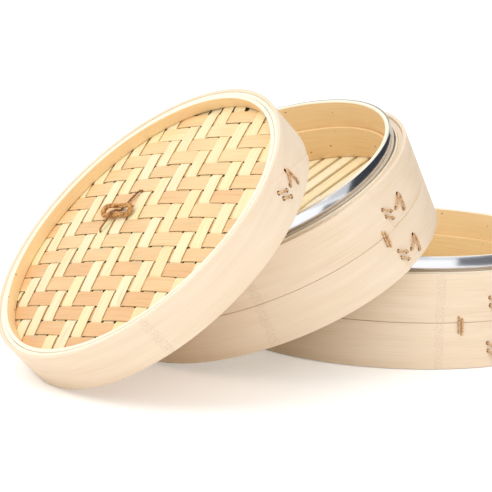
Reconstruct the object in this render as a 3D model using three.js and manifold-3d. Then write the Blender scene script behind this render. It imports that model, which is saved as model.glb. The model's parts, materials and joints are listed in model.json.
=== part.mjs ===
// A two-tier bamboo steamer, taken apart: the lower basket stands flat, the upper basket leans on its
// lip, and the woven lid leans on the upper basket. Millimetres, +Z up, origin on the floor under the
// middle of the whole arrangement.
import * as THREE from "three";
import { mergeVertices } from "three/addons/utils/BufferGeometryUtils.js";
import Module from "manifold-3d";

const wasm = await Module();
wasm.setup();

// ---------------------------------------------------------------- driving dimensions
const clearance = 0.3; // gap between pieces that touch
const roundSides = 60; // sides of every hoop, so that nested hoops stay parallel

// Basket wall, from the inside out
const basketRadius = 127;
const outerBandThickness = 2.7;
const coreThickness = 3.8;
const collarThickness = 1.4; // thin inner wrap that stands beside the steel
const steelThickness = 0.5;
const nestingGap = 0.4; // slide-in play between a lip and the hoop that goes over it
const lipThickness = 3.2;
const wallHeight = 70; // floor to the top of the outer band
const lipRise = 11; // the lip above the outer band
const seamHeight = 34; // where the two outer bands meet
const coreDrop = 1.5; // the core stops this far below the outer band
const recessDepth = 14; // the lip below nests this far up into the basket
const lapStep = 1; // step at the end of a wrapped band
const lapEase = 60; // degrees over which the step fades out

// Basket floor
const floorHeight = 34; // top of the slats
const slatCount = 13;
const slatPitch = 16.2;
const slatGap = 4;
const slatThickness = 2.2;
const battenWidth = 10;
const battenThickness = 2.8;
const battenOffset = 38; // each batten's middle from the basket's middle
const linerThickness = 2.4;
const linerHeight = 25.5;
const supportWidth = 5.6;
const supportHeight = 3.4;

// Lid
const lidHeight = 33.3;
const lidBandThickness = 2.4;
const lidCoreThickness = 2.9;
const matDepth = 9.8; // rim to the edge of the woven top
const matRise = 4; // the woven top is slightly domed
const matThickness = 1.8;
const underMatThickness = 1.4;
const rimRingThickness = 2.9;
const retainerThickness = 3.4;
const retainerHeight = 6.5;

// Rattan handle: a ring lying on the woven top, held by a thin strand that crosses it
const loopLength = 36;
const loopWidth = 11;
const loopStrandRadius = 1.9;
const loopBearing = -47; // of its long side, seen from above the lid
const handlePlace = [-18.5, 32.5]; // middle of the hinged long side, from the lid's middle
const tieRadius = 0.8;
const tieEntries = [[-8, -13.5], [8, 24.5]]; // along and across the ring, from the hinged side

// Cane lacing
const caneRadius = 0.8;

// How the three pieces lean, in degrees. A bearing is seen from above, anticlockwise from +X.
const upperLean = 26.3;
const upperRiseBearing = 30.3; // the side of the upper basket that is lifted
const upperBearing = 211.3; // from the lower basket's middle to the upper basket's middle
const lidLean = 45;
const lidRiseBearing = 29.4;
const lidBearing = 233.6; // from the upper basket's middle to the lid's middle
const slatBearing = 39;

// ---------------------------------------------------------------- worked-out dimensions
const bandInner = basketRadius - outerBandThickness;
const coreOuter = bandInner - clearance - 0.1;
const coreInner = coreOuter - coreThickness;
const collarOuter = coreInner;
const collarInner = collarOuter - collarThickness;
const steelOuter = collarInner - nestingGap;
const steelInner = steelOuter - steelThickness;
const lipOuter = steelInner - clearance;
const lipInner = lipOuter - lipThickness;
const lipHeight = wallHeight + lipRise;
const linerOuter = lipInner - clearance;
const slatBottom = floorHeight - slatThickness;
const supportTop = slatBottom - clearance;
const supportInner = linerOuter - supportWidth;
const battenBottom = supportTop - battenThickness;

const lidCoreInner = steelOuter + nestingGap; // the lid slides on over the steel
const lidCoreOuter = lidCoreInner + lidCoreThickness;
const lidBandInner = lidCoreOuter + clearance;
const lidRadius = lidBandInner + lidBandThickness;
const matRadius = lidCoreInner - clearance;
const matEdgeTop = lidHeight - matDepth;
const underMatTop = matEdgeTop - matThickness - clearance;
const retainerTop = underMatTop - underMatThickness - clearance;

const paleBamboo = 0xf2dfc0;
const tanBamboo = 0xf0c288;
const creamBamboo = 0xfff2cc;
const cane = 0x9a6a3a;
const rattan = 0xc28a4c;
const steelColour = 0xc8c8c6;

const radians = THREE.MathUtils.degToRad;

// ---------------------------------------------------------------- solids
const toSolid = (geometry) => {
  const bare = geometry.clone();
  bare.deleteAttribute("normal");
  bare.deleteAttribute("uv");
  const merged = mergeVertices(bare, 1e-4);
  return new wasm.Manifold(
    new wasm.Mesh({
      numProp: 3,
      vertProperties: merged.attributes.position.array,
      triVerts: new Uint32Array(merged.index.array),
    }),
  );
};

const toGeometry = (solid) => {
  const mesh = solid.getMesh();
  const geometry = new THREE.BufferGeometry();
  geometry.setAttribute("position", new THREE.BufferAttribute(mesh.vertProperties, 3));
  geometry.setIndex(new THREE.BufferAttribute(mesh.triVerts, 1));
  geometry.computeVertexNormals();
  return geometry;
};

const cut = (geometry, cutters) => {
  let solid = toSolid(geometry);
  for (const cutter of cutters) solid = solid.subtract(toSolid(cutter));
  return toGeometry(solid);
};

// A solid turned round the Z axis from a closed profile of [radius, height] points.
const turned = (profile) => {
  const points = profile.map(([radius, height]) => new THREE.Vector2(radius, height));
  return new THREE.LatheGeometry(points, roundSides).rotateX(Math.PI / 2);
};

// A plain hoop of rectangular section.
const hoop = (innerRadius, outerRadius, bottom, top) =>
  turned([
    [innerRadius, bottom],
    [outerRadius, bottom],
    [outerRadius, top],
    [innerRadius, top],
    [innerRadius, bottom],
  ]);

// A band wrapped round a core: its outside steps in where the strip ends, at endAngle, and eases
// back out over lapEase degrees.
const wrappedBand = (innerRadius, outerRadius, bottom, top, endAngle) => {
  const at = (angle, radius) =>
    new THREE.Vector2(radius * Math.cos(radians(angle)), radius * Math.sin(radians(angle)));
  const sideAngle = 360 / roundSides;
  const start = Math.round(endAngle / sideAngle) * sideAngle;
  const outline = [];
  const hole = [];
  for (let side = 0; side <= roundSides; side += 1) {
    const turn = side * sideAngle;
    const left = Math.max(0, 1 - turn / lapEase);
    outline.push(at(start + turn, outerRadius - lapStep * left * left));
    if (side < roundSides) hole.push(at(start + turn, innerRadius));
  }
  const shape = new THREE.Shape(outline);
  shape.holes.push(new THREE.Path(hole));
  const depth = top - bottom;
  return new THREE.ExtrudeGeometry(shape, { depth, bevelEnabled: false }).translate(0, 0, bottom);
};

// A round strand along a curve.
const strand = (curve, radius, steps, sides) => {
  const section = new THREE.Shape();
  for (let side = 0; side < sides; side += 1) {
    const angle = (2 * Math.PI * side) / sides;
    const point = [radius * Math.cos(angle), radius * Math.sin(angle)];
    if (side === 0) section.moveTo(...point);
    else section.lineTo(...point);
  }
  return new THREE.ExtrudeGeometry(section, { steps, extrudePath: curve, bevelEnabled: false });
};

// A name for a piece, its solid and its finish.
const piece = (name, geometry, color, roughness, metalness = 0) => {
  const material = new THREE.MeshStandardMaterial({ color, roughness, metalness });
  const mesh = new THREE.Mesh(geometry, material);
  mesh.name = name;
  return mesh;
};

// ---------------------------------------------------------------- cane lacing
// Strokes that show on the outside of a band: [along the band, up the band] from the lacing's middle.
const arrowStrokes = [
  [[-10.6, 5.6], [-2.9, 0.3]],
  [[-10.2, -0.1], [-3.5, -5.2]],
  [[2.9, -0.9], [11, 6.4], [11.5, -6.4]],
];
const stitchStrokes = [
  [[-1.8, 6], [-1.8, -6.5]],
  [[2, -6], [2, 4.5]],
];

// The strand comes out through a hole at the start of each stroke, lies on the band, goes back in at
// the stroke's end, and runs on to the next stroke in a groove between the band and its core.
const lacingCurve = (strokes, bandRadius, grooveRadius, bearing, height) => {
  const laid = bandRadius + clearance + caneRadius;
  const at = ([along, up], radius) => {
    const angle = radians(bearing) + along / bandRadius;
    return new THREE.Vector3(radius * Math.cos(angle), radius * Math.sin(angle), height + up);
  };
  const points = [];
  for (const stroke of strokes) {
    points.push(at(stroke[0], grooveRadius));
    for (const place of stroke) points.push(at(place, laid));
    points.push(at(stroke[stroke.length - 1], grooveRadius));
  }
  return new THREE.CatmullRomCurve3(points, false, "catmullrom", 0.15);
};

const lacingSteps = (strokes) => strokes.length * 10;
const lacing = (curve, strokes) => strand(curve, caneRadius, lacingSteps(strokes), 6);
const lacingRoom = (curve, strokes) =>
  strand(curve, caneRadius + clearance + 0.1, lacingSteps(strokes), 6);

// ---------------------------------------------------------------- baskets
const makeBasket = (name, lacingBearing, stitchBearing, floorBearing) => {
  const basket = new THREE.Group();
  const grooveRadius = coreOuter - caneRadius - clearance - 0.1;
  const upperMiddle = seamHeight + 11.7;
  const lowerMiddle = seamHeight - 22;
  const stitchMiddle = seamHeight - 2;
  const upperCurve = lacingCurve(arrowStrokes, basketRadius, grooveRadius, lacingBearing, upperMiddle);
  const lowerCurve = lacingCurve(arrowStrokes, basketRadius, grooveRadius, lacingBearing, lowerMiddle);
  const seamCurve = lacingCurve(stitchStrokes, basketRadius, grooveRadius, stitchBearing, stitchMiddle);
  const upperRoom = lacingRoom(upperCurve, arrowStrokes);
  const lowerRoom = lacingRoom(lowerCurve, arrowStrokes);
  const seamRoom = lacingRoom(seamCurve, stitchStrokes);

  const coreTop = wallHeight - coreDrop;
  const core = turned([
    [collarInner, 0],
    [coreOuter, 0],
    [coreOuter, coreTop],
    [collarOuter, coreTop],
    [collarOuter, wallHeight],
    [collarInner, wallHeight],
    [collarInner, 0],
  ]);
  const bandEnd = lacingBearing - 8;
  const half = clearance / 2;
  const upperBand = wrappedBand(bandInner, basketRadius, seamHeight + half, wallHeight, bandEnd);
  const lowerBand = wrappedBand(bandInner, basketRadius, 0, seamHeight - half, bandEnd);
  const steelBottom = wallHeight + clearance;

  basket.add(
    piece(`${name}_lip_hoop`, hoop(lipInner, lipOuter, recessDepth, lipHeight), tanBamboo, 0.55),
    piece(`${name}_steel_band`, hoop(steelInner, steelOuter, steelBottom, lipHeight), steelColour, 0.2, 1),
    piece(`${name}_core_hoop`, cut(core, [upperRoom, lowerRoom, seamRoom]), paleBamboo, 0.6),
    piece(`${name}_upper_band`, cut(upperBand, [upperRoom, seamRoom]), paleBamboo, 0.5),
    piece(`${name}_lower_band`, cut(lowerBand, [lowerRoom, seamRoom]), paleBamboo, 0.5),
    piece(`${name}_upper_lacing`, lacing(upperCurve, arrowStrokes), cane, 0.7),
    piece(`${name}_lower_lacing`, lacing(lowerCurve, arrowStrokes), cane, 0.7),
    piece(`${name}_seam_stitch`, lacing(seamCurve, stitchStrokes), cane, 0.7),
  );

  const linerBottom = floorHeight + clearance;
  const liner = hoop(linerOuter - linerThickness, linerOuter, linerBottom, linerBottom + linerHeight);
  const support = hoop(supportInner, linerOuter, supportTop - supportHeight, supportTop);
  basket.add(
    piece(`${name}_liner_ring`, liner, tanBamboo, 0.55),
    piece(`${name}_support_ring`, support, tanBamboo, 0.6),
  );

  const floor = new THREE.Group();
  floor.rotation.z = radians(floorBearing);
  const slatWidth = slatPitch - slatGap;
  for (let index = 0; index < slatCount; index += 1) {
    const across = (index - (slatCount - 1) / 2) * slatPitch;
    const reach = Math.abs(across) + slatWidth / 2;
    const length = 2 * Math.sqrt(linerOuter ** 2 - reach ** 2) - 2 * clearance;
    const slat = new THREE.BoxGeometry(length, slatWidth, slatThickness);
    const mesh = piece(`${name}_slat_${index + 1}`, slat, creamBamboo, 0.55);
    mesh.position.set(0, across, floorHeight - slatThickness / 2);
    floor.add(mesh);
  }
  const battenReach = battenOffset + battenWidth / 2;
  const battenLength = 2 * Math.sqrt(supportInner ** 2 - battenReach ** 2) - 2 * clearance;
  for (const side of [-1, 1]) {
    const batten = new THREE.BoxGeometry(battenWidth, battenLength, battenThickness);
    const mesh = piece(`${name}_batten_${side < 0 ? 1 : 2}`, batten, tanBamboo, 0.6);
    mesh.position.set(side * battenOffset, 0, battenBottom + battenThickness / 2);
    floor.add(mesh);
  }
  basket.add(floor);
  return basket;
};

// ---------------------------------------------------------------- lid
// Height of the domed top above its edge.
const domeRise = (radius) => matRise * (1 - (radius / matRadius) ** 2);

// A domed sheet with its upper face at top, following the dome.
const domedSheet = (top, thickness) => {
  const rings = 3;
  const upper = [];
  const lower = [];
  for (let ring = 0; ring <= rings; ring += 1) {
    const radius = (matRadius * ring) / rings;
    upper.push([radius, top + domeRise(radius)]);
    lower.push([radius, top + domeRise(radius) - thickness]);
  }
  return turned([...lower, ...upper.reverse()]);
};

// A place on the woven top, from [along, across] the ring and a height above the sheet.
const onTop = ([along, across], height) => {
  const [cosine, sine] = [Math.cos(radians(loopBearing)), Math.sin(radians(loopBearing))];
  const x = handlePlace[0] + along * cosine - across * sine;
  const y = handlePlace[1] + along * sine + across * cosine;
  return new THREE.Vector3(x, y, matEdgeTop + domeRise(Math.hypot(x, y)) + height);
};

const hingeHeight = loopStrandRadius + 2 * clearance;
const loopReach = loopWidth - 2 * loopStrandRadius; // between the middles of the two long sides
const loopLift = Math.asin((2 * tieRadius + clearance) / loopReach); // it rests on the strand

// The strand comes up at one entry, passes over the hinged side, down through the ring, under the
// other long side and along the sheet to the second entry.
const tieCurve = () => {
  const [first, last] = tieEntries;
  const laid = tieRadius + clearance;
  const over = hingeHeight + loopStrandRadius + clearance + tieRadius;
  const between = (share) => [
    first[0] + (last[0] - first[0]) * share,
    first[1] + (last[1] - first[1]) * share,
  ];
  const shareAt = (across) => (across - first[1]) / (last[1] - first[1]);
  return new THREE.CatmullRomCurve3([
    onTop(first, -1),
    onTop(first, laid),
    onTop(between(shareAt(-loopStrandRadius - 2)), over - 1.6),
    onTop(between(shareAt(0)), over),
    onTop(between(shareAt(loopStrandRadius + 2)), over - 2.2),
    onTop(between(shareAt(loopReach - loopStrandRadius)), laid),
    onTop(between(shareAt(loopReach + loopStrandRadius)), laid),
    onTop(last, laid),
    onTop(last, -1),
  ]);
};

// A ring pulled apart into a long oval: round ends joined by straight sides.
const ovalRing = (length, width, radius) => {
  const endRadius = width / 2 - radius;
  const geometry = new THREE.TorusGeometry(endRadius, radius, 8, 26);
  const position = geometry.attributes.position;
  const shift = length / 2 - radius - endRadius;
  for (let index = 0; index < position.count; index += 1)
    position.setX(index, position.getX(index) + shift * Math.sign(position.getX(index)));
  return geometry;
};

const makeLid = (lacingBearing) => {
  const lid = new THREE.Group();
  const grooveRadius = lidCoreOuter - caneRadius - clearance - 0.1;
  const curve = lacingCurve(arrowStrokes, lidRadius, grooveRadius, lacingBearing, lidHeight / 2 - 1.5);
  const room = lacingRoom(curve, arrowStrokes);
  const band = wrappedBand(lidBandInner, lidRadius, 0, lidHeight, lacingBearing - 7);
  const core = hoop(lidCoreInner, lidCoreOuter, 0, lidHeight - 0.8);
  const rimOuter = matRadius;
  const rim = hoop(rimOuter - rimRingThickness, rimOuter, matEdgeTop + clearance, lidHeight - 0.4);
  const retainerInner = rimOuter - retainerThickness;
  const retainer = hoop(retainerInner, rimOuter, retainerTop - retainerHeight, retainerTop);

  const entryRadius = tieRadius + clearance;
  const entries = tieEntries.map((entry) =>
    new THREE.CylinderGeometry(entryRadius, entryRadius, 4 * matThickness, 12)
      .rotateX(Math.PI / 2)
      .translate(...onTop(entry, 0)),
  );

  lid.add(
    piece("lid_outer_band", cut(band, [room]), paleBamboo, 0.5),
    piece("lid_core_hoop", cut(core, [room]), paleBamboo, 0.6),
    piece("lid_lacing", lacing(curve, arrowStrokes), cane, 0.7),
    piece("lid_rim_ring", rim, tanBamboo, 0.55),
    piece("lid_retainer_ring", retainer, tanBamboo, 0.6),
    piece("lid_woven_top", cut(domedSheet(matEdgeTop, matThickness), entries), creamBamboo, 0.5),
    piece("lid_under_layer", domedSheet(underMatTop, underMatThickness), tanBamboo, 0.6),
  );

  lid.add(piece("lid_handle_strand", strand(tieCurve(), tieRadius, 32, 6), rattan, 0.65));

  const loop = piece("lid_handle_loop", ovalRing(loopLength, loopWidth, loopStrandRadius), rattan, 0.65);
  loop.geometry.translate(0, loopReach / 2, 0);
  loop.position.copy(onTop([0, 0], hingeHeight));
  loop.rotation.set(loopLift, 0, radians(loopBearing), "ZYX");
  lid.add(loop);
  return lid;
};

// ---------------------------------------------------------------- how the pieces lean
// Each round piece as a stack of rings: [inner radius, outer radius, bottom, top].
const basketRings = [
  [collarInner, basketRadius, 0, wallHeight],
  [lipInner, steelOuter, recessDepth, lipHeight],
  [supportInner, linerOuter, supportTop - supportHeight, supportTop],
  [0, linerOuter, battenBottom, floorHeight],
];
const lidRings = [
  [lidCoreInner, lidRadius, 0, lidHeight],
  [matRadius - retainerThickness, matRadius, retainerTop - retainerHeight, retainerTop],
  [0, matRadius, underMatTop - underMatThickness, matEdgeTop],
];

// Every edge of every ring as points.
const edgePoints = (rings) => {
  const points = [];
  const count = 720;
  for (const [inner, outer, bottom, top] of rings)
    for (const radius of [inner, outer])
      for (const height of [bottom, top])
        for (let index = 0; index < count; index += 1) {
          const angle = (2 * Math.PI * index) / count;
          points.push(new THREE.Vector3(radius * Math.cos(angle), radius * Math.sin(angle), height));
        }
  return points;
};

const insideRings = (point, rings) => {
  const radius = Math.hypot(point.x, point.y);
  return rings.some(
    ([inner, outer, bottom, top]) =>
      radius > inner - clearance &&
      radius < outer + clearance &&
      point.z > bottom - clearance &&
      point.z < top + clearance,
  );
};

// Stands a piece on its lowest edge at a place on the floor, with one side lifted.
const lean = (group, edgeRadius, leanAngle, riseBearing, x, y) => {
  const rise = radians(riseBearing);
  const axis = new THREE.Vector3(Math.sin(rise), -Math.cos(rise), 0);
  group.quaternion.setFromAxisAngle(axis, radians(leanAngle));
  group.position.set(x, y, edgeRadius * Math.sin(radians(leanAngle)));
  group.updateMatrix();
};

const touching = (group, rings, points, restGroup, restRings, restPoints) => {
  const toRest = restGroup.matrix.clone().invert().multiply(group.matrix);
  const fromRest = toRest.clone().invert();
  const place = new THREE.Vector3();
  return (
    points.some((point) => insideRings(place.copy(point).applyMatrix4(toRest), restRings)) ||
    restPoints.some((point) => insideRings(place.copy(point).applyMatrix4(fromRest), rings))
  );
};

// Slides a leaning piece towards the piece it rests on, along a bearing, until they just touch.
const leanAgainst = (group, rings, edgeRadius, leanAngle, riseBearing, restGroup, restRings, bearing) => {
  const points = edgePoints(rings);
  const restPoints = edgePoints(restRings);
  const toward = [Math.cos(radians(bearing)), Math.sin(radians(bearing))];
  const touchesAt = (distance) => {
    const x = restGroup.position.x + distance * toward[0];
    const y = restGroup.position.y + distance * toward[1];
    lean(group, edgeRadius, leanAngle, riseBearing, x, y);
    return touching(group, rings, points, restGroup, restRings, restPoints);
  };
  let clear = 2 * basketRadius + lipHeight;
  while (!touchesAt(clear - 2)) clear -= 2;
  let near = clear - 2;
  while (clear - near > 0.02) {
    const middle = (clear + near) / 2;
    if (touchesAt(middle)) near = middle;
    else clear = middle;
  }
  touchesAt(clear);
};

// ---------------------------------------------------------------- the whole steamer
const lowerBasket = makeBasket("lower", -56.4, -72, 20);
const upperBasket = makeBasket("upper", -36.4, -44.8, slatBearing);
const lid = makeLid(-27.6);
lowerBasket.updateMatrix();
leanAgainst(
  upperBasket, basketRings, basketRadius, upperLean, upperRiseBearing,
  lowerBasket, basketRings, upperBearing,
);
leanAgainst(
  lid, lidRings, lidRadius, lidLean, lidRiseBearing,
  upperBasket, basketRings, lidBearing,
);

const steamer = new THREE.Group();
steamer.add(lowerBasket, upperBasket, lid);
steamer.updateMatrixWorld(true);
const extent = new THREE.Box3().setFromObject(steamer, true);
const middle = extent.getCenter(new THREE.Vector3());
for (const part of steamer.children) part.position.sub(new THREE.Vector3(middle.x, middle.y, extent.min.z));

export default steamer;
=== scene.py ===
# %% [markdown]
# # A bamboo steamer, taken apart
# The set has two round baskets and a woven lid. One basket stands flat, the second leans on its
# lip, and the lid leans on the second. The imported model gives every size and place, so this lesson
# measures that frame first and then makes each piece again with the detail that wood, cane and
# steel have. Every new piece rides on the body of the frame that carries it.

# %% Load the frame
import json
import math
import random

import bpy
from mathutils import Matrix, Vector


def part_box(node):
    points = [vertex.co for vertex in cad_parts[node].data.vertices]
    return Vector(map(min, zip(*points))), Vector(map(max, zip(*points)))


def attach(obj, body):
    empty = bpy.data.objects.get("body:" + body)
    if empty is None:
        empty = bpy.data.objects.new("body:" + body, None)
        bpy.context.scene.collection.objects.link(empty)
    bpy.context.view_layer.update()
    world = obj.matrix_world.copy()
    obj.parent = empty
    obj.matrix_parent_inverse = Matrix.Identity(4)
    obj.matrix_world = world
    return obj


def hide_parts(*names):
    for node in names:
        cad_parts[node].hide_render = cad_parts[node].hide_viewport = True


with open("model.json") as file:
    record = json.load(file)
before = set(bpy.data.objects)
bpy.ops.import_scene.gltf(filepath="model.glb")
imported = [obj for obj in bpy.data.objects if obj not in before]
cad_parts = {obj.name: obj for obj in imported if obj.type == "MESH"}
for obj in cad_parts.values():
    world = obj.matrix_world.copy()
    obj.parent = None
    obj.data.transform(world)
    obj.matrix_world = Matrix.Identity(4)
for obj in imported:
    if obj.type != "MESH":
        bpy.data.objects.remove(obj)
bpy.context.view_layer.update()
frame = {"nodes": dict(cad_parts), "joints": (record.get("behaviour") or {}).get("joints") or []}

MM = 0.001
print("CAD nodes:", len(frame["nodes"]))

# %% [markdown]
# ## Where each round piece sits
# A basket or lid is turned round its own axis, and two of the three lean. It is far easier to model
# each one upright round the world's origin and then lay it in place with one matrix. The axis is the
# way its slide joint lifts, its middle comes from a plain hoop, and its base from the core hoop.

# %% Own frame of each body
def body_axis(body):
    for joint in frame["joints"]:
        if joint["child"] == body and joint["type"] == "slide":
            return Vector(joint["axis"]).normalized()
    return Vector((0, 0, 1))


def place_of(body, plain_hoop, core_hoop):
    axis = body_axis(body)
    low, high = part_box(plain_hoop)
    middle = (low + high) / 2
    heights = [vertex.co.dot(axis) for vertex in frame["nodes"][core_hoop].data.vertices]
    base = middle + axis * (min(heights) - middle.dot(axis))
    turn = Vector((0, 0, 1)).rotation_difference(axis)
    return Matrix.Translation(base) @ turn.to_matrix().to_4x4()


place = {
    "lower_basket": place_of("lower_basket", "lower_lip_hoop", "lower_core_hoop"),
    "upper_basket": place_of("upper_basket", "upper_lip_hoop", "upper_core_hoop"),
    "lid": place_of("lid", "lid_rim_ring", "lid_core_hoop"),
}
for body, matrix in place.items():
    print(body, "base at", [round(value, 4) for value in matrix.translation])


# %% Sizes of a CAD hoop in its own upright frame
def ring_of(node, body):
    upright = place[body].inverted()
    corners = [upright @ vertex.co for vertex in frame["nodes"][node].data.vertices]
    radii = [math.hypot(corner.x, corner.y) for corner in corners]
    heights = [corner.z for corner in corners]
    return min(radii), max(radii), min(heights), max(heights)


print("lip hoop, inner, outer, bottom, top:", ring_of("lower_lip_hoop", "lower_basket"))

# %% [markdown]
# ## Bamboo
# Split bamboo has straight fibres that run along the strip, so its colour is a stack of long thin
# streaks. On a hoop the fibres run round it, so the material first turns a point into how far round,
# how high and how far out it is. A stretched noise along the first of those gives the streaks, a
# slower one gives patches, and a bump from the same streaks gives a silky grain. A Mapping node of
# the Texture kind undoes the lean of the body.

# %% Small helpers for materials
def new_material(name, color, roughness, metallic=0.0):
    material = bpy.data.materials.new(name)
    material.use_nodes = True
    shader = material.node_tree.nodes["Principled BSDF"]
    shader.inputs["Base Color"].default_value = (*color, 1)
    shader.inputs["Roughness"].default_value = roughness
    shader.inputs["Metallic"].default_value = metallic
    material.diffuse_color = (*color, 1)
    return material, material.node_tree, shader


def node(tree, kind, **values):
    made = tree.nodes.new(kind)
    for key, value in values.items():
        setattr(made, key, value)
    return made


def math_node(tree, operation, first, second=None):
    made = node(tree, "ShaderNodeMath", operation=operation)
    for index, value in enumerate((first, second)):
        if value is None:
            continue
        if isinstance(value, (int, float)):
            made.inputs[index].default_value = value
        else:
            tree.links.new(value, made.inputs[index])
    return made.outputs[0]


def own_coordinates(tree, matrix):
    coordinates = node(tree, "ShaderNodeTexCoord")
    mapping = node(tree, "ShaderNodeMapping", vector_type="TEXTURE")
    mapping.inputs["Location"].default_value = matrix.translation
    mapping.inputs["Rotation"].default_value = matrix.to_euler()
    tree.links.new(coordinates.outputs["Object"], mapping.inputs["Vector"])
    split = node(tree, "ShaderNodeSeparateXYZ")
    tree.links.new(mapping.outputs["Vector"], split.inputs[0])
    return split.outputs["X"], split.outputs["Y"], split.outputs["Z"]


def linear(red, green, blue):
    def one(value):
        value /= 255
        return value / 12.92 if value <= 0.04045 else ((value + 0.055) / 1.055) ** 2.4

    return one(red), one(green), one(blue)


def scaled(tree, parts, scales):
    joined = node(tree, "ShaderNodeCombineXYZ")
    for index, (part, scale) in enumerate(zip(parts, scales)):
        tree.links.new(math_node(tree, "MULTIPLY", part, scale), joined.inputs[index])
    return joined.outputs[0]


def stretched(tree, parts, scales, detail=3.0, roughness=0.55):
    joined = scaled(tree, parts, scales)
    noise = node(tree, "ShaderNodeTexNoise")
    noise.inputs["Scale"].default_value = 1.0
    noise.inputs["Detail"].default_value = detail
    noise.inputs["Roughness"].default_value = roughness
    tree.links.new(joined, noise.inputs["Vector"])
    return noise.outputs["Fac"]


def ramp(tree, value, stops):
    made = node(tree, "ShaderNodeValToRGB")
    elements = made.color_ramp.elements
    while len(elements) < len(stops):
        elements.new(0.5)
    for element, (position, color) in zip(elements, stops):
        element.position = position
        element.color = (*color, 1)
    tree.links.new(value, made.inputs[0])
    return made.outputs["Color"]


def mix(tree, factor, first, second, blend="MIX"):
    made = node(tree, "ShaderNodeMix", data_type="RGBA", blend_type=blend)
    for index, value in ((0, factor), (6, first), (7, second)):
        if isinstance(value, (int, float)):
            made.inputs[index].default_value = value
        elif isinstance(value, tuple):
            made.inputs[index].default_value = (*value, 1)
        else:
            tree.links.new(value, made.inputs[index])
    return made.outputs[2]


def bump(tree, shader, height, strength, distance):
    made = node(tree, "ShaderNodeBump")
    made.inputs["Strength"].default_value = strength
    made.inputs["Distance"].default_value = distance
    tree.links.new(height, made.inputs["Height"])
    tree.links.new(made.outputs[0], shader.inputs["Normal"])


# %% Knots and specks
knot_wobble = 0.03
knot_half_width = 0.028
knot_gaps = 0.54
knot_strength = 0.42
knot_shade = 0.72
speck_strength = 0.6


def knot_marks(tree, color, ring_place, bearings, dark):
    wobble = stretched(tree, ring_place, (30, 500, 500), 3.0)
    for bearing in bearings:
        away = math_node(tree, "SUBTRACT", ring_place[0], math.radians(bearing))
        away = math_node(tree, "ADD", away, math_node(tree, "MULTIPLY", wobble, knot_wobble))
        away = math_node(tree, "ABSOLUTE", math_node(tree, "SUBTRACT", away, knot_wobble / 2))
        mark = math_node(tree, "LESS_THAN", away, knot_half_width)
        crumble = stretched(tree, ring_place, (150, 900, 300), 3.0)
        broken = math_node(tree, "GREATER_THAN", crumble, knot_gaps)
        mark = math_node(tree, "MULTIPLY", math_node(tree, "MULTIPLY", mark, broken), knot_strength)
        color = mix(tree, mark, color, tuple(value * knot_shade for value in dark))
    return color


def specks(tree, color, ring_place, size):
    spots = node(tree, "ShaderNodeTexVoronoi", feature="F1")
    spots.inputs["Scale"].default_value = 1.0
    tree.links.new(scaled(tree, ring_place, (9, 110, 110)), spots.inputs["Vector"])
    spot = math_node(tree, "LESS_THAN", spots.outputs["Distance"], size)
    return mix(tree, math_node(tree, "MULTIPLY", spot, speck_strength), color, linear(120, 62, 24))


# %% Bamboo bent into a hoop
def hoop_bamboo(name, body, light, dark, speck=0.0, knots=(), roughness=0.48):
    material, tree, shader = new_material(name, light, roughness)
    x, y, z = own_coordinates(tree, place[body])
    angle = math_node(tree, "ARCTAN2", y, x)
    squares = math_node(tree, "ADD", math_node(tree, "MULTIPLY", x, x), math_node(tree, "MULTIPLY", y, y))
    ring_place = (angle, z, math_node(tree, "SQRT", squares))
    fibre = stretched(tree, ring_place, (2.2, 2600, 2600), 4.0, 0.65)
    patch = stretched(tree, ring_place, (1.6, 90, 90), 2.0)
    color = ramp(tree, fibre, [(0.28, dark), (0.52, light), (0.8, light)])
    shade = ramp(tree, patch, [(0.3, (0.93, 0.9, 0.85)), (0.7, (1, 1, 1))])
    color = mix(tree, 1.0, color, shade, "MULTIPLY")
    if knots:
        color = knot_marks(tree, color, ring_place, knots, dark)
    if speck:
        color = specks(tree, color, ring_place, speck)
    tree.links.new(color, shader.inputs["Base Color"])
    bump(tree, shader, fibre, 0.12, 0.4 * MM)
    return material


pale_light, pale_dark = linear(246, 227, 203), linear(236, 211, 180)
tan_light, tan_dark = linear(252, 222, 172), linear(242, 198, 138)
cream_light, cream_dark = linear(254, 246, 228), linear(250, 238, 210)
knot_bearings = {"lower_basket": (-79, 70), "upper_basket": (-93, 70), "lid": (-93, 70)}
bamboo = {}
for body, knots in knot_bearings.items():
    bamboo[body, "pale"] = hoop_bamboo(f"pale bamboo of {body}", body, pale_light, pale_dark, knots=knots)
    bamboo[body, "tan"] = hoop_bamboo(f"tan bamboo of {body}", body, tan_light, tan_dark, speck=0.09)
    bamboo[body, "cream"] = hoop_bamboo(f"cream edge of {body}", body, cream_light, cream_dark)
print("hoop finishes:", len(bamboo))


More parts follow.
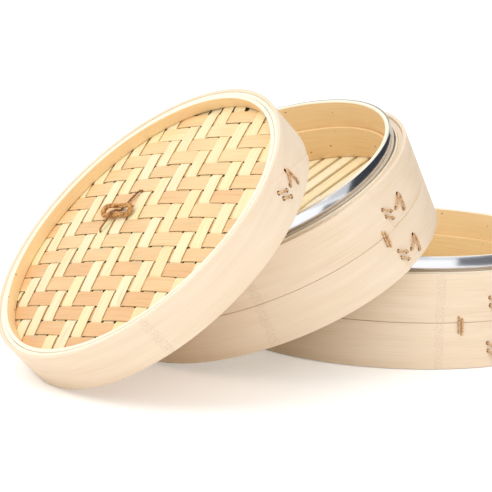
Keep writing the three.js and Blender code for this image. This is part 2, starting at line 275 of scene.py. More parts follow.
# %% Straight strips of bamboo
def strip_bamboo(name, body, bearing, colors, roughness=0.45, green=0.0):
    turned = place[body] @ Matrix.Rotation(math.radians(bearing), 4, "Z")
    material, tree, shader = new_material(name, colors[-1], roughness)
    x, y, z = own_coordinates(tree, turned)
    tone = node(tree, "ShaderNodeAttribute", attribute_name="tone").outputs["Fac"]
    moved = math_node(tree, "ADD", x, math_node(tree, "MULTIPLY", tone, 7.0))
    fibre = stretched(tree, (moved, y, z), (14, 1500, 300), 4.0, 0.65)
    drift = stretched(tree, (moved, y, z), (26, 70, 20), 1.0)
    shift = math_node(tree, "MULTIPLY", math_node(tree, "SUBTRACT", drift, 0.5), 0.55)
    tone = math_node(tree, "ADD", tone, shift)
    last = max(1, len(colors) - 1)
    base = ramp(tree, tone, [(index / last, color) for index, color in enumerate(colors)])
    streak = ramp(tree, fibre, [(0.3, (0.84, 0.76, 0.64)), (0.5, (0.98, 0.96, 0.93)), (0.75, (1, 1, 1))])
    color = mix(tree, 1.0, base, streak, "MULTIPLY")
    if green:
        patch = stretched(tree, (moved, y, z), (30, 160, 30), 2.0)
        where = ramp(tree, patch, [(0.62, (0, 0, 0)), (0.7, (green, green, green))])
        color = mix(tree, where, color, linear(196, 196, 160))
    tree.links.new(color, shader.inputs["Base Color"])
    bump(tree, shader, fibre, 0.18, 0.0004)
    return material


# %% Steel, cane and rattan
def band_steel(name, body):
    material, tree, shader = new_material(name, (0.7, 0.72, 0.76), 0.2, 1.0)
    x, y, z = own_coordinates(tree, place[body])
    angle = math_node(tree, "ARCTAN2", y, x)
    lines = stretched(tree, (angle, z, z), (1.5, 5000, 10), 2.0)
    spread = node(tree, "ShaderNodeMapRange")
    spread.inputs["To Min"].default_value = 0.09
    spread.inputs["To Max"].default_value = 0.2
    tree.links.new(lines, spread.inputs["Value"])
    tree.links.new(spread.outputs[0], shader.inputs["Roughness"])
    bump(tree, shader, lines, 0.05, 0.0002)
    return material


def strand_finish(name, light, dark, scale):
    material, tree, shader = new_material(name, light, 0.6)
    coordinates = node(tree, "ShaderNodeTexCoord")
    noise = node(tree, "ShaderNodeTexNoise")
    noise.inputs["Scale"].default_value = scale
    noise.inputs["Detail"].default_value = 4.0
    tree.links.new(coordinates.outputs["Object"], noise.inputs["Vector"])
    color = ramp(tree, noise.outputs["Fac"], [(0.35, dark), (0.6, light)])
    tree.links.new(color, shader.inputs["Base Color"])
    bump(tree, shader, noise.outputs["Fac"], 0.4, 0.0005)
    return material


steel = {body: band_steel(f"steel of {body}", body) for body in ("lower_basket", "upper_basket")}
cane_finish = strand_finish("split cane", linear(228, 190, 144), linear(172, 128, 84), 700)
rattan_finish = strand_finish("rattan", linear(214, 160, 92), linear(150, 92, 44), 450)
# Painted shade: the walls of a drilled hole get a dark brown that stands in for the shade inside it.
hole_painted_shade = strand_finish("painted shade in a drilled hole", linear(58, 38, 24), linear(34, 22, 14), 800)
print("steel, cane and rattan are ready")

# %% [markdown]
# ## Bent hoops
# The maker steams a strip and bends it round a form. A hoop is a spun section: a plane the size of
# the wall stands at its radius, its corners are rounded as sanded edges are, its face goes, and the
# outline is spun a full turn. The doubles at the join are merged so that the wall is closed.

# %% Start clean and finish a piece
def deselect():
    if bpy.context.mode != "OBJECT":
        bpy.ops.object.mode_set(mode="OBJECT")
    bpy.ops.object.select_all(action="DESELECT")


def only(piece):
    deselect()
    piece.select_set(True)
    bpy.context.view_layer.objects.active = piece


def settle(piece, body, finish, replaced, smooth=35):
    only(piece)
    piece.data.transform(place[body])
    bpy.ops.object.shade_smooth_by_angle(angle=math.radians(smooth))
    piece.data.materials.clear()
    piece.data.materials.append(finish)
    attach(piece, body)
    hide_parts(*replaced)


# %% Spin a section into a hoop
join_gap = 1e-6


def hoop(name, inner, outer, bottom, top, rounding, steps=180, rows=1):
    deselect()
    bpy.ops.mesh.primitive_plane_add(size=1, rotation=(math.pi / 2, 0, 0),
                                     location=((inner + outer) / 2, 0, (bottom + top) / 2))
    piece = bpy.context.object
    piece.name = name
    piece.scale = (outer - inner, top - bottom, 1)
    bpy.ops.object.transform_apply(location=True, rotation=True, scale=True)
    bpy.ops.object.mode_set(mode="EDIT")
    bpy.ops.mesh.select_all(action="SELECT")
    bpy.ops.mesh.bevel(offset=rounding, segments=3, affect="VERTICES")
    bpy.ops.mesh.select_all(action="SELECT")
    bpy.ops.mesh.delete(type="ONLY_FACE")
    if rows > 1:
        split_tall_edges(piece, rows)
    bpy.ops.mesh.select_all(action="SELECT")
    bpy.ops.mesh.spin(steps=steps, angle=2 * math.pi, center=(0, 0, 0), axis=(0, 0, 1))
    bpy.ops.mesh.select_all(action="SELECT")
    bpy.ops.mesh.remove_doubles(threshold=join_gap)
    bpy.ops.mesh.normals_make_consistent(inside=False)
    bpy.ops.object.mode_set(mode="OBJECT")
    return piece


def split_tall_edges(piece, rows):
    bpy.ops.mesh.select_all(action="DESELECT")
    bpy.ops.object.mode_set(mode="OBJECT")
    corners = piece.data.vertices
    ends = [edge.vertices for edge in piece.data.edges]
    tallest = max(abs(corners[first].co.z - corners[second].co.z) for first, second in ends)
    for edge in piece.data.edges:
        first, second = edge.vertices
        edge.select = abs(corners[first].co.z - corners[second].co.z) > 0.9 * tallest
    bpy.ops.object.mode_set(mode="EDIT")
    bpy.ops.mesh.select_mode(type="EDGE")
    bpy.ops.mesh.subdivide(number_cuts=rows - 1)
    bpy.ops.mesh.select_mode(type="VERT")


# %% A second finish on some faces
def paint_faces(piece, body, finish, test):
    piece.data.materials.append(finish)
    upright = place[body].inverted()
    for face in piece.data.polygons:
        if test(upright @ face.center):
            face.material_index = len(piece.data.materials) - 1


# %% Lips, liners, supports and steel
lip_edge = 1.2 * MM


def plain_hoops(level):
    body = f"{level}_basket"
    for part, rounding, finish, slot in (
        ("lip_hoop", 0.9, bamboo[body, "tan"], "tan_bamboo"),
        ("liner_ring", 0.6, bamboo[body, "tan"], "tan_bamboo"),
        ("support_ring", 0.6, bamboo[body, "tan"], "tan_bamboo"),
        ("steel_band", 0.15, steel[body], "steel"),
    ):
        cad = f"{level}_{part}"
        inner, outer, bottom, top = ring_of(cad, body)
        piece = hoop(f"{cad}_bent", inner, outer, bottom, top, rounding * MM)
        settle(piece, body, finish, [cad])
        if part == "lip_hoop":
            paint_faces(piece, body, bamboo[body, "cream"], lambda spot: spot.z > top - lip_edge)


for level in ("lower", "upper"):
    plain_hoops(level)
print("plain hoops of both baskets are bent")

# %% [markdown]
# The core of a wall is a thicker strip with a thin collar inside it that stands a little higher, next
# to the steel. The solid in the frame is one stepped ring, so the two strips are told apart here.

# %% Core and collar
collar_thickness = 1.4 * MM
collar_gap = 0.1 * MM


def core_and_collar(level):
    body = f"{level}_basket"
    cad = f"{level}_core_hoop"
    inner, outer, bottom, top = ring_of(cad, body)
    upright = place[body].inverted()
    ledge = sorted({round((upright @ vertex.co).z, 5) for vertex in frame["nodes"][cad].data.vertices
                    if math.hypot(*(upright @ vertex.co).xy) > outer - 0.2 * MM})[-1]
    collar = inner + collar_thickness
    core = hoop(f"{level}_core_strip", collar, outer, bottom, ledge, 0.5 * MM)
    settle(core, body, bamboo[body, "pale"], [cad])
    thin = hoop(f"{level}_collar_strip", inner, collar - collar_gap, bottom, top, 0.4 * MM)
    settle(thin, body, bamboo[body, "cream"], [cad])


for level in ("lower", "upper"):
    core_and_collar(level)
print("cores and collars are bent")

# %% [markdown]
# ## Wrapped outer bands
# The outside of each wall is a strip wrapped round the core, with its shaved end lying on top of its
# start. That end shows as a slanted line with a small step. The columns of a hoop after the line are
# pushed in towards the core, most at the line and fading out along the wrap. The hoop has several
# rows, and at the end they are twisted a little, one by one, so that the line slants.

# %% Wrap a band
def select_where(piece, test):
    bpy.ops.mesh.select_all(action="DESELECT")
    bpy.ops.object.mode_set(mode="OBJECT")
    for vertex in piece.data.vertices:
        vertex.select = test(vertex.co)
    bpy.ops.object.mode_set(mode="EDIT")


def turned_away(co, turn):
    difference = math.atan2(co.y, co.x) - turn
    return abs(math.atan2(math.sin(difference), math.cos(difference)))


step_squeeze = 0.93
column_reach = 0.2


def wrap(name, cad, body, end_bearing, slant, step=0.9 * MM, fade=40, steps=180):
    inner, outer, bottom, top = ring_of(cad, body)
    piece = hoop(name, inner, outer, bottom, top, 0.35 * MM, steps, rows=8)
    column = 2 * math.pi / steps
    only(piece)
    bpy.ops.object.mode_set(mode="EDIT")
    for index in range(fade):
        left = 1 - index / fade
        turn = (index + 1) * column
        select_where(piece, lambda co: math.hypot(co.x, co.y) > (inner + outer) / 2
                     and turned_away(co, turn) < column_reach * column)
        shrink = 1 - step * left * left / outer
        bpy.ops.transform.resize(value=(shrink, shrink, 1), center_override=(0, 0, 0))
        if index == 0:
            bpy.ops.transform.rotate(value=column * step_squeeze, orient_axis="Z",
                                     center_override=(0, 0, 0))
    bpy.ops.object.mode_set(mode="OBJECT")
    for vertex in piece.data.vertices:
        share = (vertex.co.z - bottom) / (top - bottom)
        turn = math.radians(end_bearing + slant * (share - 0.5))
        vertex.co = Matrix.Rotation(turn, 3, "Z") @ vertex.co
    return piece


# %% [markdown]
# ## Cane lacing
# Split cane is threaded through drilled holes to tie the wraps: it shows on the outside as two short
# dashes and a bent stroke, like a small arrow. Each stroke is a curve that leaves one hole, lies on
# the band and goes into the next. The holes are cut with small cones, and a boolean gives the cut
# faces the cone's finish: a dark brown that is painted shade for the inside of each hole.

# %% Strokes and holes
arrow_strokes = [
    [(-10.6, 5.6), (-2.9, 0.3)],
    [(-10.2, -0.1), (-3.5, -5.2)],
    [(2.9, -0.9), (11, 6.4), (11.5, -6.4)],
]
stitch_strokes = [
    [(-1.3, 6), (-1.0, -5)],
    [(1.5, -6.5), (1.2, 4.5)],
]


def on_band(along, up, radius, lift, bearing, height):
    angle = math.radians(bearing) + along * MM / radius
    reach = radius + lift
    return Vector((reach * math.cos(angle), reach * math.sin(angle), height + up * MM))


def tube(name, lines, thickness, resolution=2):
    deselect()
    data = bpy.data.curves.new(name, "CURVE")
    data.dimensions = "3D"
    data.bevel_depth = thickness
    data.bevel_resolution = resolution
    data.use_fill_caps = True
    for line, closed in lines:
        spline = data.splines.new("POLY")
        spline.points.add(len(line) - 1)
        for point, spot in zip(spline.points, line):
            point.co = (*spot, 1)
        spline.use_cyclic_u = closed
    piece = bpy.data.objects.new(name, data)
    bpy.context.scene.collection.objects.link(piece)
    only(piece)
    bpy.ops.object.convert(target="MESH")
    return bpy.context.object


def smooth_line(points, count=8):
    line = []
    for index in range(len(points) - 1):
        before = points[max(0, index - 1)]
        start, end = points[index], points[index + 1]
        after = points[min(len(points) - 1, index + 2)]
        for step in range(count):
            t = step / count
            line.append(0.5 * ((2 * start) + (end - before) * t
                               + (2 * before - 5 * start + 4 * end - after) * t * t
                               + (3 * start - before - 3 * end + after) * t * t * t))
    line.append(points[-1])
    return line


cane_depth = 1.6 * MM
cane_lift = 0.5 * MM
cane_crown = 1.1 * MM


def lacing(name, strokes, radius, bearing, height, body, cad, thickness=0.85 * MM):
    lines = []
    for stroke in strokes:
        path = [on_band(*stroke[0], radius, -cane_depth, bearing, height)]
        for spot, following in zip(stroke, stroke[1:] + [None]):
            path.append(on_band(*spot, radius, cane_lift, bearing, height))
            if following:
                middle = [(a + b) / 2 for a, b in zip(spot, following)]
                path.append(on_band(*middle, radius, cane_crown, bearing, height))
        path.append(on_band(*stroke[-1], radius, -cane_depth, bearing, height))
        lines.append((smooth_line(path), False))
    piece = tube(name, lines, thickness)
    settle(piece, body, cane_finish, [cad])


hole_bottom, hole_mouth, hole_length = 1.2, 2.1, 3.4
size_tolerance = 0.1 * MM


def drill(piece, strokes, radius, bearing, height, wide=1.0):
    before = [max(vertex.co[axis] for vertex in piece.data.vertices) for axis in range(3)]
    cutters = []
    for stroke in strokes:
        for along, up in stroke:
            spot = on_band(along, up, radius, 0, bearing, height)
            deselect()
            bpy.ops.mesh.primitive_cone_add(
                vertices=14, radius1=hole_bottom * wide * MM, radius2=hole_mouth * wide * MM,
                depth=hole_length * MM, location=spot,
                rotation=(0, math.pi / 2, math.atan2(spot.y, spot.x)))
            # The cutter carries the painted shade that the boolean leaves on the walls of the hole.
            bpy.context.object.data.materials.append(hole_painted_shade)
            cutters.append(bpy.context.object)
    deselect()
    for cutter in cutters:
        cutter.select_set(True)
    bpy.context.view_layer.objects.active = cutters[0]
    bpy.ops.object.join()
    holes = bpy.context.object
    only(piece)
    cut = piece.modifiers.new("holes", "BOOLEAN")
    cut.operation = "DIFFERENCE"
    cut.solver = "EXACT"
    cut.material_mode = "TRANSFER"
    cut.object = holes
    bpy.ops.object.modifier_apply(modifier=cut.name)
    bpy.data.objects.remove(holes)
    after = [max((vertex.co[axis] for vertex in piece.data.vertices), default=0) for axis in range(3)]
    if max(abs(a - b) for a, b in zip(before, after)) > size_tolerance:
        raise RuntimeError(f"drilling changed the size of {piece.name}")


def settle_drilled(piece, body, replaced):
    only(piece)
    piece.data.transform(place[body])
    bpy.ops.object.shade_smooth_by_angle(angle=math.radians(30))
    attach(piece, body)
    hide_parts(*replaced)


# %% The baskets' bands and their lacing
from_seam = {"upper": 11.7 * MM, "lower": -22 * MM, "stitch": -2 * MM}
half_seam = 0.15 * MM
lacing_bearings = {"lower": -56.4, "upper": -36.4}
stitch_bearings = {"lower": -72, "upper": -44.8}
stitch_hole_size = 0.55
end_from_lacing, end_slant = 6, -6


def wrapped_wall(level):
    body = f"{level}_basket"
    lacing_bearing, stitch_bearing = lacing_bearings[level], stitch_bearings[level]
    radius = ring_of(f"{level}_upper_band", body)[1]
    seam = ring_of(f"{level}_lower_band", body)[3] + half_seam
    stitch_height = seam + from_seam["stitch"]
    for part in ("upper", "lower"):
        height = seam + from_seam[part]
        cad = f"{level}_{part}_band"
        piece = wrap(f"{level}_{part}_wrap", cad, body, lacing_bearing - end_from_lacing, end_slant)
        piece.data.materials.append(bamboo[body, "pale"])
        drill(piece, arrow_strokes, radius, lacing_bearing, height)
        drill(piece, stitch_strokes, radius, stitch_bearing, stitch_height, stitch_hole_size)
        settle_drilled(piece, body, [cad])
        lacing(f"{level}_{part}_cane", arrow_strokes, radius, lacing_bearing, height, body,
               f"{level}_{part}_lacing")
    lacing(f"{level}_seam_cane", stitch_strokes, radius, stitch_bearing, stitch_height, body,
           f"{level}_seam_stitch")


for level in ("lower", "upper"):
    wrapped_wall(level)
print("outer bands are wrapped and laced")

# %% [markdown]
# ## Slatted floors
# The floor is a row of split slats on two battens. A slat is a cube drawn out to its size with its
# edges eased, and its ends follow the round wall. A cylinder as wide as the wall allows trims each
# slat, so that all of them end on one circle.

# %% Slats and battens
random.seed(7)
weld_gap = 0.02 * MM
slats_in_floor = 13
fit_gap = 0.2 * MM
floor_bearings = {"lower": 20, "upper": 39}


def set_tone(piece, value):
    layer = piece.data.attributes.new("tone", "FLOAT", "POINT")
    for item in layer.data:
        item.value = value


def trim_round(piece, radius, bottom, top):
    deselect()
    bpy.ops.mesh.primitive_cylinder_add(vertices=128, radius=radius, depth=top - bottom,
                                        location=(0, 0, (bottom + top) / 2))
    ring = bpy.context.object
    only(piece)
    cut = piece.modifiers.new("round", "BOOLEAN")
    cut.operation = "INTERSECT"
    cut.solver = "EXACT"
    cut.object = ring
    bpy.ops.object.modifier_apply(modifier=cut.name)
    bpy.data.objects.remove(ring)
    bpy.ops.object.mode_set(mode="EDIT")
    bpy.ops.mesh.select_all(action="SELECT")
    bpy.ops.mesh.remove_doubles(threshold=weld_gap)
    bpy.ops.mesh.dissolve_degenerate(threshold=weld_gap)
    bpy.ops.mesh.quads_convert_to_tris()
    bpy.ops.mesh.select_mode(type="VERT")
    bpy.ops.mesh.select_all(action="DESELECT")
    bpy.ops.mesh.select_non_manifold()
    bpy.ops.object.mode_set(mode="OBJECT")
    open_corners = sum(vertex.select for vertex in piece.data.vertices)
    if open_corners:
        print(piece.name, "corners left open by the trim:", open_corners)


def bar(name, length, width, thickness, middle, turn, rounding):
    deselect()
    bpy.ops.mesh.primitive_cube_add(size=1)
    piece = bpy.context.object
    piece.name = name
    piece.scale = (length, width, thickness)
    bpy.ops.object.transform_apply(scale=True)
    bpy.ops.object.mode_set(mode="EDIT")
    bpy.ops.mesh.select_all(action="SELECT")
    bpy.ops.mesh.bevel(offset=rounding, segments=2, affect="EDGES")
    bpy.ops.object.mode_set(mode="OBJECT")
    piece.data.transform(Matrix.Rotation(turn, 4, "Z") @ Matrix.Translation(middle))
    return piece


def slatted_floor(level, bearing, reach):
    body = f"{level}_basket"
    shades = [linear(254, 242, 202), linear(255, 246, 212), linear(255, 249, 222)]
    slat_finish = strip_bamboo(f"slats of {body}", body, bearing, shades)
    batten_finish = strip_bamboo(f"battens of {body}", body, bearing + 90, shades[:2])
    upright = Matrix.Rotation(-math.radians(bearing), 4, "Z") @ place[body].inverted()
    slats = [f"{level}_slat_{index + 1}" for index in range(slats_in_floor)]
    battens = [f"{level}_batten_1", f"{level}_batten_2"]
    for cad in slats + battens:
        corners = [upright @ vertex.co for vertex in frame["nodes"][cad].data.vertices]
        low = Vector([min(corner[axis] for corner in corners) for axis in range(3)])
        high = Vector([max(corner[axis] for corner in corners) for axis in range(3)])
        size = high - low
        lengthwise = cad in slats
        extra = Vector((2 * reach, 0, 0)) if lengthwise else Vector((0, 2 * reach, 0))
        piece = bar(f"{cad}_split", *(size + extra), (low + high) / 2, math.radians(bearing), 0.6 * MM)
        radius = reach if lengthwise else ring_of(f"{level}_support_ring", body)[0] - fit_gap
        trim_round(piece, radius, low.z - MM, high.z + MM)
        set_tone(piece, random.random())
        settle(piece, body, slat_finish if lengthwise else batten_finish,
               [cad])


for level, bearing in floor_bearings.items():
    slatted_floor(level, bearing, ring_of(f"{level}_liner_ring", f"{level}_basket")[1] - fit_gap)
print("both floors are laid")

# %% [markdown]
# ## The lid's hoops
# The lid is a shallow drum: a wrapped band round a core, a ring that holds the woven top down from
# above and a second that holds it from below.

# %% Lid hoops, band and lacing
for part, rounding, tone in (
    ("core_hoop", 0.25, "cream"),
    ("rim_ring", 0.3, "cream"),
    ("retainer_ring", 0.6, "tan"),
):
    cad = f"lid_{part}"
    inner, outer, bottom, top = ring_of(cad, "lid")
    piece = hoop(f"{cad}_bent", inner, outer, bottom, top, rounding * MM)
    settle(piece, "lid", bamboo["lid", tone], [cad])
    if part == "rim_ring":
        paint_faces(piece, "lid", bamboo["lid", "tan"],
                    lambda spot: math.hypot(spot.x, spot.y) < inner + fit_gap)

lid_band = ring_of("lid_outer_band", "lid")
lid_lacing_height = (lid_band[2] + lid_band[3]) / 2 - 1.5 * MM
lid_lacing_bearing = -27.6
lid_end_bearing, lid_end_slant = -19.5, -33
piece = wrap("lid_outer_wrap", "lid_outer_band", "lid", lid_end_bearing, lid_end_slant)
piece.data.materials.append(bamboo["lid", "pale"])
drill(piece, arrow_strokes, lid_band[1], lid_lacing_bearing, lid_lacing_height)
settle_drilled(piece, "lid", ["lid_outer_band"])
lacing("lid_cane", arrow_strokes, lid_band[1], lid_lacing_bearing, lid_lacing_height, "lid", "lid_lacing")
print("lid drum is made")

# %% [markdown]
# ## The woven top
# Wide splints cross in a twill: each passes over two and under two, one step on from its neighbour.
# A splint is a long plane divided along its length. Where it goes over it is lifted, where it goes
# under it is lowered, and a short slope joins the two. Which of the two happens is counted from the
# numbers of the two splints that meet, so both sets always agree. Solidify then gives the thickness.

# %% Sizes of the weave
_, mat_radius, _, mat_peak = ring_of("lid_woven_top", "lid")
mat_top = ring_of("lid_rim_ring", "lid")[2] - 0.3 * MM
mat_rise = mat_peak - mat_top
mat_thickness = 1.8 * MM
splint_thickness = 0.5 * MM
weave_lift = (mat_thickness - splint_thickness) / 2 - 0.1 * MM
bearings_of_weave = {"tan": -47, "cream": 57}
pitch_of_weave = {"tan": 13 * MM, "cream": 14 * MM}
gap_of_weave = {"tan": 1.1 * MM, "cream": 2.7 * MM}
crossing_angle = math.radians(bearings_of_weave["cream"] - bearings_of_weave["tan"])
flat_share, slope_share = 0.36, 0.14
splint_step = 1.3 * MM
splint_overhang = 3 * MM
rim_margin = 3 * MM
sway, sway_length = 0.28 * MM, 19 * MM
width_spread = (0.93, 1.03)


def goes_over(kind, own, other):
    row, column = (own, other) if kind == "tan" else (other, own)
    tan_is_over = (row + column) % 4 < 2
    return tan_is_over if kind == "tan" else not tan_is_over


def height_at(kind, number, along, across):
    other = "cream" if kind == "tan" else "tan"
    side = -1 if kind == "tan" else 1
    reach = side * along * math.sin(crossing_angle) + across * math.cos(crossing_angle)
    place_now = reach / pitch_of_weave[other]
    nearest = round(place_now)
    here = 1 if goes_over(kind, number, nearest) else -1
    past = place_now - nearest
    following = 1 if goes_over(kind, number, nearest + (1 if past > 0 else -1)) else -1
    share = max(0.0, (abs(past) - flat_share) / slope_share)
    return weave_lift * (here + (following - here) * 0.5 * share * share * (3 - 2 * share))


# %% One splint
def splint(kind, number, wander):
    pitch = pitch_of_weave[kind]
    across = number * pitch + wander
    phase = random.uniform(0, 2 * math.pi)
    half = math.sqrt(mat_radius ** 2 - min(abs(across), mat_radius - MM) ** 2) + splint_overhang
    deselect()
    bpy.ops.mesh.primitive_plane_add(size=1)
    piece = bpy.context.object
    piece.scale = (2 * half, (pitch - gap_of_weave[kind]) * random.uniform(*width_spread), 1)
    bpy.ops.object.transform_apply(scale=True)
    bpy.ops.object.mode_set(mode="EDIT")
    bpy.ops.mesh.select_mode(type="EDGE")
    bpy.ops.mesh.select_all(action="DESELECT")
    bpy.ops.object.mode_set(mode="OBJECT")
    for edge in piece.data.edges:
        first, second = (piece.data.vertices[index].co for index in edge.vertices)
        edge.select = abs(first.x - second.x) > half
    bpy.ops.object.mode_set(mode="EDIT")
    bpy.ops.mesh.subdivide(number_cuts=int(2 * half / splint_step))
    bpy.ops.mesh.select_mode(type="VERT")
    bpy.ops.object.mode_set(mode="OBJECT")
    for vertex in piece.data.vertices:
        vertex.co.y += across + sway * math.sin(vertex.co.x / sway_length + phase)
        vertex.co.z = height_at(kind, number, vertex.co.x, vertex.co.y)
    own_tone = 0.32 + 0.4 * across / mat_radius if kind == "tan" else 0.3
    set_tone(piece, min(1, max(0, own_tone + 0.6 * (random.random() - 0.4))))
    piece.data.transform(Matrix.Rotation(math.radians(bearings_of_weave[kind]), 4, "Z"))
    return piece


def joined_sheet(pieces, name, thickness):
    deselect()
    for piece in pieces:
        piece.select_set(True)
    bpy.context.view_layer.objects.active = pieces[0]
    bpy.ops.object.join()
    sheet = bpy.context.object
    sheet.name = name
    wall = sheet.modifiers.new("wall", "SOLIDIFY")
    wall.thickness = thickness
    wall.offset = 0
    bpy.ops.object.modifier_apply(modifier=wall.name)
    return sheet


def lay_splints(kind, seed):
    random.seed(seed)
    rows = int((mat_radius - rim_margin) / pitch_of_weave[kind])
    made = [splint(kind, number, random.uniform(-0.25, 0.25) * MM) for number in range(-rows, rows + 1)]
    return joined_sheet(made, f"lid_{kind}_splints", splint_thickness)


tan_splints = lay_splints("tan", 11)
cream_splints = lay_splints("cream", 12)
print("splints laid:", len(tan_splints.data.polygons) + len(cream_splints.data.polygons), "faces")


# %% Trim, dome and finish the weave
edge_gap = 0.3 * MM
trim_reach = 5 * MM


def dome(co):
    share = min(1, math.hypot(co.x, co.y) / mat_radius)
    return mat_rise * (1 - share * share)


tan_tones = [linear(232, 186, 134), linear(240, 202, 150), linear(246, 216, 164), linear(250, 230, 182)]
cream_tones = [linear(247, 228, 176), linear(250, 238, 200), linear(246, 234, 182), linear(251, 242, 212)]
for kind, piece, tones in (("tan", tan_splints, tan_tones), ("cream", cream_splints, cream_tones)):
    trim_round(piece, mat_radius - edge_gap, -trim_reach, trim_reach)
    for vertex in piece.data.vertices:
        vertex.co.z += mat_top - mat_thickness / 2 + dome(vertex.co)
    finish = strip_bamboo(f"{piece.name} finish", "lid", bearings_of_weave[kind], tones, 0.42, 0.35)
    settle(piece, "lid", finish, ["lid_woven_top"], smooth=40)
print("woven top is trimmed and domed")

# %% [markdown]
# Under the weave lies a second layer of wide flat splints side by side, which closes the gaps and is
# what the cook sees inside the lid. Each starts as a grid, so that it can bend with the dome, and all
# of them get their thickness and their round outline together. The side towards the weave gets painted
# shade, a dark brown, because the slits above only ever show it in shadow.

# %% Under layer
_, under_radius, _, under_peak = ring_of("lid_under_layer", "lid")
under_pitch, under_thickness = 15 * MM, 1.2 * MM
under_gap, under_overhang = 0.5 * MM, 8 * MM
under_rows = 7
random.seed(21)


def under_splint(number):
    across = min(abs(number) * under_pitch, under_radius - MM)
    half = math.sqrt(under_radius ** 2 - across ** 2) + under_overhang
    deselect()
    bpy.ops.mesh.primitive_grid_add(x_subdivisions=48, y_subdivisions=2, size=1)
    piece = bpy.context.object
    piece.scale = (2 * half, under_pitch - under_gap, 1)
    bpy.ops.object.transform_apply(scale=True)
    piece.data.transform(Matrix.Translation((0, number * under_pitch, 0)))
    set_tone(piece, random.random())
    return piece


under_splints = [under_splint(number) for number in range(-under_rows, under_rows + 1)]
under = joined_sheet(under_splints, "lid_under_splints", under_thickness)
trim_round(under, under_radius - edge_gap, -trim_reach, trim_reach)
for vertex in under.data.vertices:
    share = math.hypot(vertex.co.x, vertex.co.y) / under_radius
    vertex.co.z += under_peak - under_thickness / 2 - 0.05 * MM - mat_rise * share * share
under_finish = strip_bamboo("under layer finish", "lid", 0, tan_tones)
settle(under, "lid", under_finish, ["lid_under_layer"])
upward = body_axis("lid")
# Painted shade: the faces that look up towards the weave get a dark brown, since the slits only show them
# in shadow.
painted_shade_tones = [linear(128, 86, 48), linear(156, 108, 62)]
under.data.materials.append(strip_bamboo("painted shade on the under layer", "lid", 0, painted_shade_tones))
for face in under.data.polygons:
    if face.normal.dot(upward) > 0.5:
        face.material_index = 1
print("under layer:", len(under.data.polygons), "faces")

# %% [markdown]
# ## The rattan handle
# Three peeled strands are twisted into a small oval ring, and one thin strand ties it down. The ring
# is swept along an oval with each strand winding round the middle line. The ring rides on its own
# body, because it swings up to be pinched.

# %% Twisted ring
loop_node = frame["nodes"]["lid_handle_loop"]
hinge = next(joint for joint in frame["joints"] if joint["name"] == "handle_swing")
hinge_spot, hinge_axis = Vector(hinge["pos_m"]), Vector(hinge["axis"]).normalized()
loop_low, loop_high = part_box("lid_handle_loop")
loop_middle = (loop_low + loop_high) / 2
loop_across = (loop_middle - hinge_spot) - (loop_middle - hinge_spot).dot(hinge_axis) * hinge_axis
loop_reach = loop_across.length
loop_across.normalize()
loop_normal = hinge_axis.cross(loop_across)
half_length = max((vertex.co - loop_middle).dot(hinge_axis) for vertex in loop_node.data.vertices)
half_width = max((vertex.co - loop_middle).dot(loop_across) for vertex in loop_node.data.vertices)
ring_radius = max((vertex.co - loop_middle).dot(loop_normal) for vertex in loop_node.data.vertices)
print("ring:", round(half_length / MM, 1), "by", round(half_width / MM, 1), "mm,",
      "half thickness", round(ring_radius / MM, 2))
corner_ease = 6
strand_count, strand_radius, winds = 3, 0.95 * MM, 9
ring_steps, small_turn = 150, 0.02


def oval_point(turn):
    end = half_width - ring_radius
    straight = half_length - ring_radius - end
    eased = min(1, abs(math.cos(turn)) * corner_ease)
    x = end * math.cos(turn) + math.copysign(straight, math.cos(turn)) * eased
    return Vector((x, end * math.sin(turn), 0))


strands = []
for strand in range(strand_count):
    line = []
    for step in range(ring_steps):
        turn = 2 * math.pi * step / ring_steps
        middle = oval_point(turn)
        ahead = (oval_point(turn + small_turn) - oval_point(turn - small_turn)).normalized()
        side = Vector((ahead.y, -ahead.x, 0))
        wind = winds * turn + 2 * math.pi * strand / strand_count
        offset = side * math.cos(wind) + Vector((0, 0, 1)) * math.sin(wind)
        spot = middle + offset * (ring_radius - strand_radius)
        line.append(loop_middle + hinge_axis * spot.x + loop_across * spot.y + loop_normal * spot.z)
    strands.append((line, True))
ring = tube("lid_twisted_ring", strands, strand_radius)
only(ring)
bpy.ops.object.shade_smooth()
ring.data.materials.append(rattan_finish)
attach(ring, "handle")
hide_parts("lid_handle_loop")
print("twisted ring:", len(ring.data.polygons), "faces")

# %% Strand that ties the ring
tie_finish = strand_finish("thin strand", linear(168, 112, 62), linear(92, 56, 30), 600)
strand_node = frame["nodes"]["lid_handle_strand"]
for material_slot in strand_node.material_slots:
    material_slot.material = tie_finish
print("strand finishes:", [material_slot.material.name for material_slot in strand_node.material_slots])

# %% [markdown]
# ## Floor, light and camera
# The set stands on a plain white sweep. Big soft lamps give gentle shading, and the floor shows white
# to the camera while it still takes the soft shadow.

# %% Floor
floor_drop = 0.5 * MM
floor_glow = 0.28
sky_strength = 0.84
deselect()
bpy.ops.mesh.primitive_plane_add(size=8)
floor = bpy.context.object
floor.name = "studio_floor"
floor.location.z = -floor_drop
floor_material, tree, shader = new_material("white sweep", linear(250, 248, 245), 0.9)
floor.data.materials.append(floor_material)
shown = node(tree, "ShaderNodeLightPath").outputs["Is Camera Ray"]
glow = node(tree, "ShaderNodeEmission")
glow.inputs["Color"].default_value = (1, 1, 1, 1)
mirrored = node(tree, "ShaderNodeLightPath").outputs["Is Glossy Ray"]
glowing = math_node(tree, "MULTIPLY", math_node(tree, "MAXIMUM", shown, mirrored), floor_glow)
tree.links.new(glowing, glow.inputs["Strength"])
both = node(tree, "ShaderNodeAddShader")
tree.links.new(shader.outputs[0], both.inputs[0])
tree.links.new(glow.outputs[0], both.inputs[1])
tree.links.new(both.outputs[0], tree.nodes["Material Output"].inputs["Surface"])
world = bpy.data.worlds.new("studio")
bpy.context.scene.world = world
world.use_nodes = True
world.node_tree.nodes["Background"].inputs["Color"].default_value = (1, 1, 1, 1)
sky = world.node_tree
seen = math_node(sky, "MAXIMUM", node(sky, "ShaderNodeLightPath").outputs["Is Camera Ray"], sky_strength)
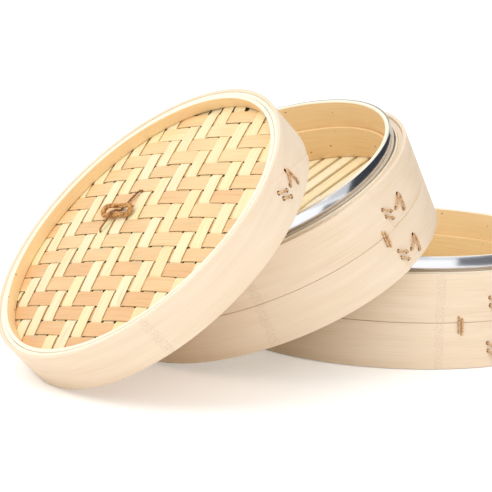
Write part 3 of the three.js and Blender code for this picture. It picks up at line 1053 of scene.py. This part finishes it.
sky.links.new(seen, sky.nodes["Background"].inputs["Strength"])


# %% Lamps
lamp_color = (1, 0.98, 0.96)
lamp_target = Vector((0, 0, 0.1))


def lamp(name, location, size, power):
    data = bpy.data.lights.new(name, "AREA")
    data.size = size
    data.energy = power
    data.color = lamp_color
    made = bpy.data.objects.new(name, data)
    made.location = location
    made.rotation_euler = (lamp_target - Vector(location)).to_track_quat("-Z", "Y").to_euler()
    bpy.context.scene.collection.objects.link(made)


lamp("key", (-0.9, -0.5, 1.7), 1.5, 14.5)
lamp("fill", (1.3, -1.6, 1.0), 1.6, 8)
print("two lamps over the sweep")

# %% [markdown]
# Polished steel shows whatever stands round it, and among white alone it would look like paper. A
# studio stands dark cards beside it. These two are hidden from the camera and from all but
# reflections, so they darken part of the steel and hardly touch the wood.

# %% Dark cards for the steel
def dark_card(name, middle, facing, width, height, color):
    deselect()
    bpy.ops.mesh.primitive_plane_add(size=1, location=middle,
                                     rotation=(math.pi / 2, 0, math.radians(facing + 90)))
    card = bpy.context.object
    card.name = name
    card.scale = (width, height, 1)
    bpy.ops.object.transform_apply(location=False, rotation=False, scale=True)
    card.data.materials.append(new_material(name, color, 0.9)[0])
    card.visible_camera = card.visible_diffuse = card.visible_shadow = False


dark_card("tall_card", (0.47, 0.17, 0.25), 20, 0.72, 0.5, (0.03, 0.035, 0.045))
dark_card("low_card", (0.38, -0.15, 0.045), -30, 0.26, 0.09, (0.2, 0.21, 0.23))
print("cards stand beside the steel")

# %% Camera
camera_data = bpy.data.cameras.new("camera")
camera = bpy.data.objects.new("camera", camera_data)
bpy.context.scene.collection.objects.link(camera)
camera_place = (-0.0347, -1.7082, 0.3808)
camera_data.lens = 172.7
camera_data.sensor_width = 36
pitch, roll = math.radians(10.03), math.radians(1.83)
camera.matrix_world = (
    Matrix.Translation(camera_place)
    @ Matrix.Rotation(math.pi / 2 - pitch, 4, "X")
    @ Matrix.Rotation(roll, 4, "Z")
)
bpy.context.scene.camera = camera
bpy.context.scene.view_settings.view_transform = "Standard"
